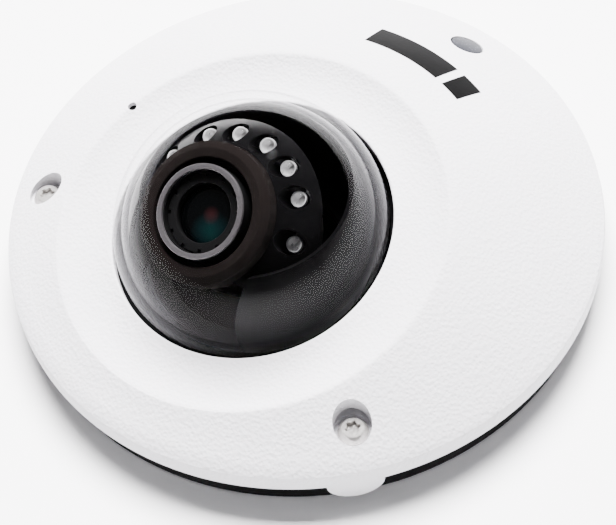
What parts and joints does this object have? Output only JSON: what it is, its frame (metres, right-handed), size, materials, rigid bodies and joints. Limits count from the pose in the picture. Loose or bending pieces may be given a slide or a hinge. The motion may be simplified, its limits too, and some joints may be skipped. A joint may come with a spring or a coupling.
{
  "type": "dome security camera",
  "caption": "Low round dome security camera: an off-centre leaning white cover on a black base, with a clear bubble over an infrared-lit lens that pans, tilts and turns.",
  "frame": {"origin": "centre of the flat mounting face of the base", "axes": "+Z out of the mounting face towards the bubble, -Y towards the low side that the bubble leans to, +X to the right when the low side faces the viewer"},
  "size_m": [0.11, 0.11, 0.0429],
  "materials": {
    "white_paint": "fine leather-grain powder coat, satin",
    "black_casting": "satin black coat on a casting",
    "black_plastic": "fine moulded texture",
    "gloss_black": "polished, highly reflective",
    "black_rubber": "matt",
    "black_foam": "closed-cell foam, matt",
    "clear_dome": "clear polycarbonate, polished",
    "clear_lamp": "water-clear epoxy",
    "coated_glass": "anti-reflection coated, green sheen",
    "stainless": "bright stainless",
    "grey_metal": "satin anodised",
    "green_board": "solder mask",
    "black_chip": "moulded epoxy",
    "cream_plastic": "moulded nylon",
    "smoked_window": "speckled smoked plastic"
  },
  "bodies": {
    "base": {"base": "black_casting", "cable_gland": "black_rubber", "cover_seal": "black_rubber", "main_board": "green_board", "board_screw_1": "stainless", "board_screw_2": "stainless", "board_screw_3": "stainless", "processor": "black_chip", "lan_transformer": "black_chip", "card_slot": "stainless", "lan_header": "cream_plastic", "reset_switch": "black_chip", "pan_clamp_1": "stainless", "pan_clamp_2": "stainless", "pan_clamp_3": "stainless", "pan_clamp_screw_1": "stainless", "pan_clamp_screw_2": "stainless", "pan_clamp_screw_3": "stainless"},
    "cover": {"cover": "white_paint", "cover_screw_left": "stainless", "cover_screw_right": "stainless", "light_window": "smoked_window", "light_sensor": "black_chip", "microphone_boot": "black_rubber", "microphone": "stainless", "dome_bubble": "clear_dome", "dome_seal": "black_rubber", "dome_clamp": "black_plastic", "dome_clamp_screw_1": "stainless", "dome_clamp_screw_2": "stainless", "dome_clamp_screw_3": "stainless"},
    "pan_table": {"pan_ring": "black_plastic", "liner": "gloss_black", "yoke_arm_left": "black_plastic", "yoke_arm_right": "black_plastic", "tilt_pin_left": "stainless", "tilt_pin_right": "stainless"},
    "tilt_head": {"carrier": "black_plastic", "hood": "gloss_black", "led_board": "green_board", "ir_led_1": "clear_lamp", "ir_led_2": "clear_lamp", "ir_led_3": "clear_lamp", "ir_led_4": "clear_lamp", "ir_led_5": "clear_lamp", "ir_led_6": "clear_lamp", "ir_led_7": "clear_lamp", "foam_ring": "black_foam"},
    "turn_module": {"lens_holder": "black_plastic", "sensor_board": "green_board", "image_sensor": "black_chip"},
    "day_night_filter": {"filter_frame": "black_plastic", "day_filter": "smoked_window"},
    "lens": {"lens_barrel": "black_plastic", "lens_front_ring": "grey_metal", "lens_retaining_ring": "grey_metal", "front_lens": "coated_glass", "rear_lens": "coated_glass"},
    "button": {"reset_button": "cream_plastic"}
  },
  "joints": [
    {"name": "cover_lift", "type": "slide", "parent": "base", "child": "cover", "axis": [0, 0, 1], "range_m": [0, 0.045]},
    {"name": "pan", "type": "hinge", "parent": "base", "child": "pan_table", "pos_m": [0, -0.01208, 0.01789], "axis": [0, 0, 1], "range_deg": [-177.5, 177.5]},
    {"name": "tilt", "type": "hinge", "parent": "pan_table", "child": "tilt_head", "pos_m": [0, -0.01208, 0.01789], "axis": [1, 0, 0], "range_deg": [-32, 38]},
    {"name": "turn", "type": "hinge", "parent": "tilt_head", "child": "turn_module", "pos_m": [0, -0.01208, 0.01789], "axis": [0, -0.5299, 0.848], "range_deg": [-177.5, 177.5]},
    {"name": "focus", "type": "hinge", "parent": "turn_module", "child": "lens", "pos_m": [0, -0.01208, 0.01789], "axis": [0, -0.5299, 0.848], "range_deg": [-180, 180]},
    {"name": "filter_shift", "type": "slide", "parent": "turn_module", "child": "day_night_filter", "axis": [1, 0, 0], "range_m": [0, 0.005]},
    {"name": "reset_press", "type": "slide", "parent": "base", "child": "button", "axis": [0, 0, -1], "range_m": [0, 0.0005], "stiffness_N_per_m": 3000}
  ]
}
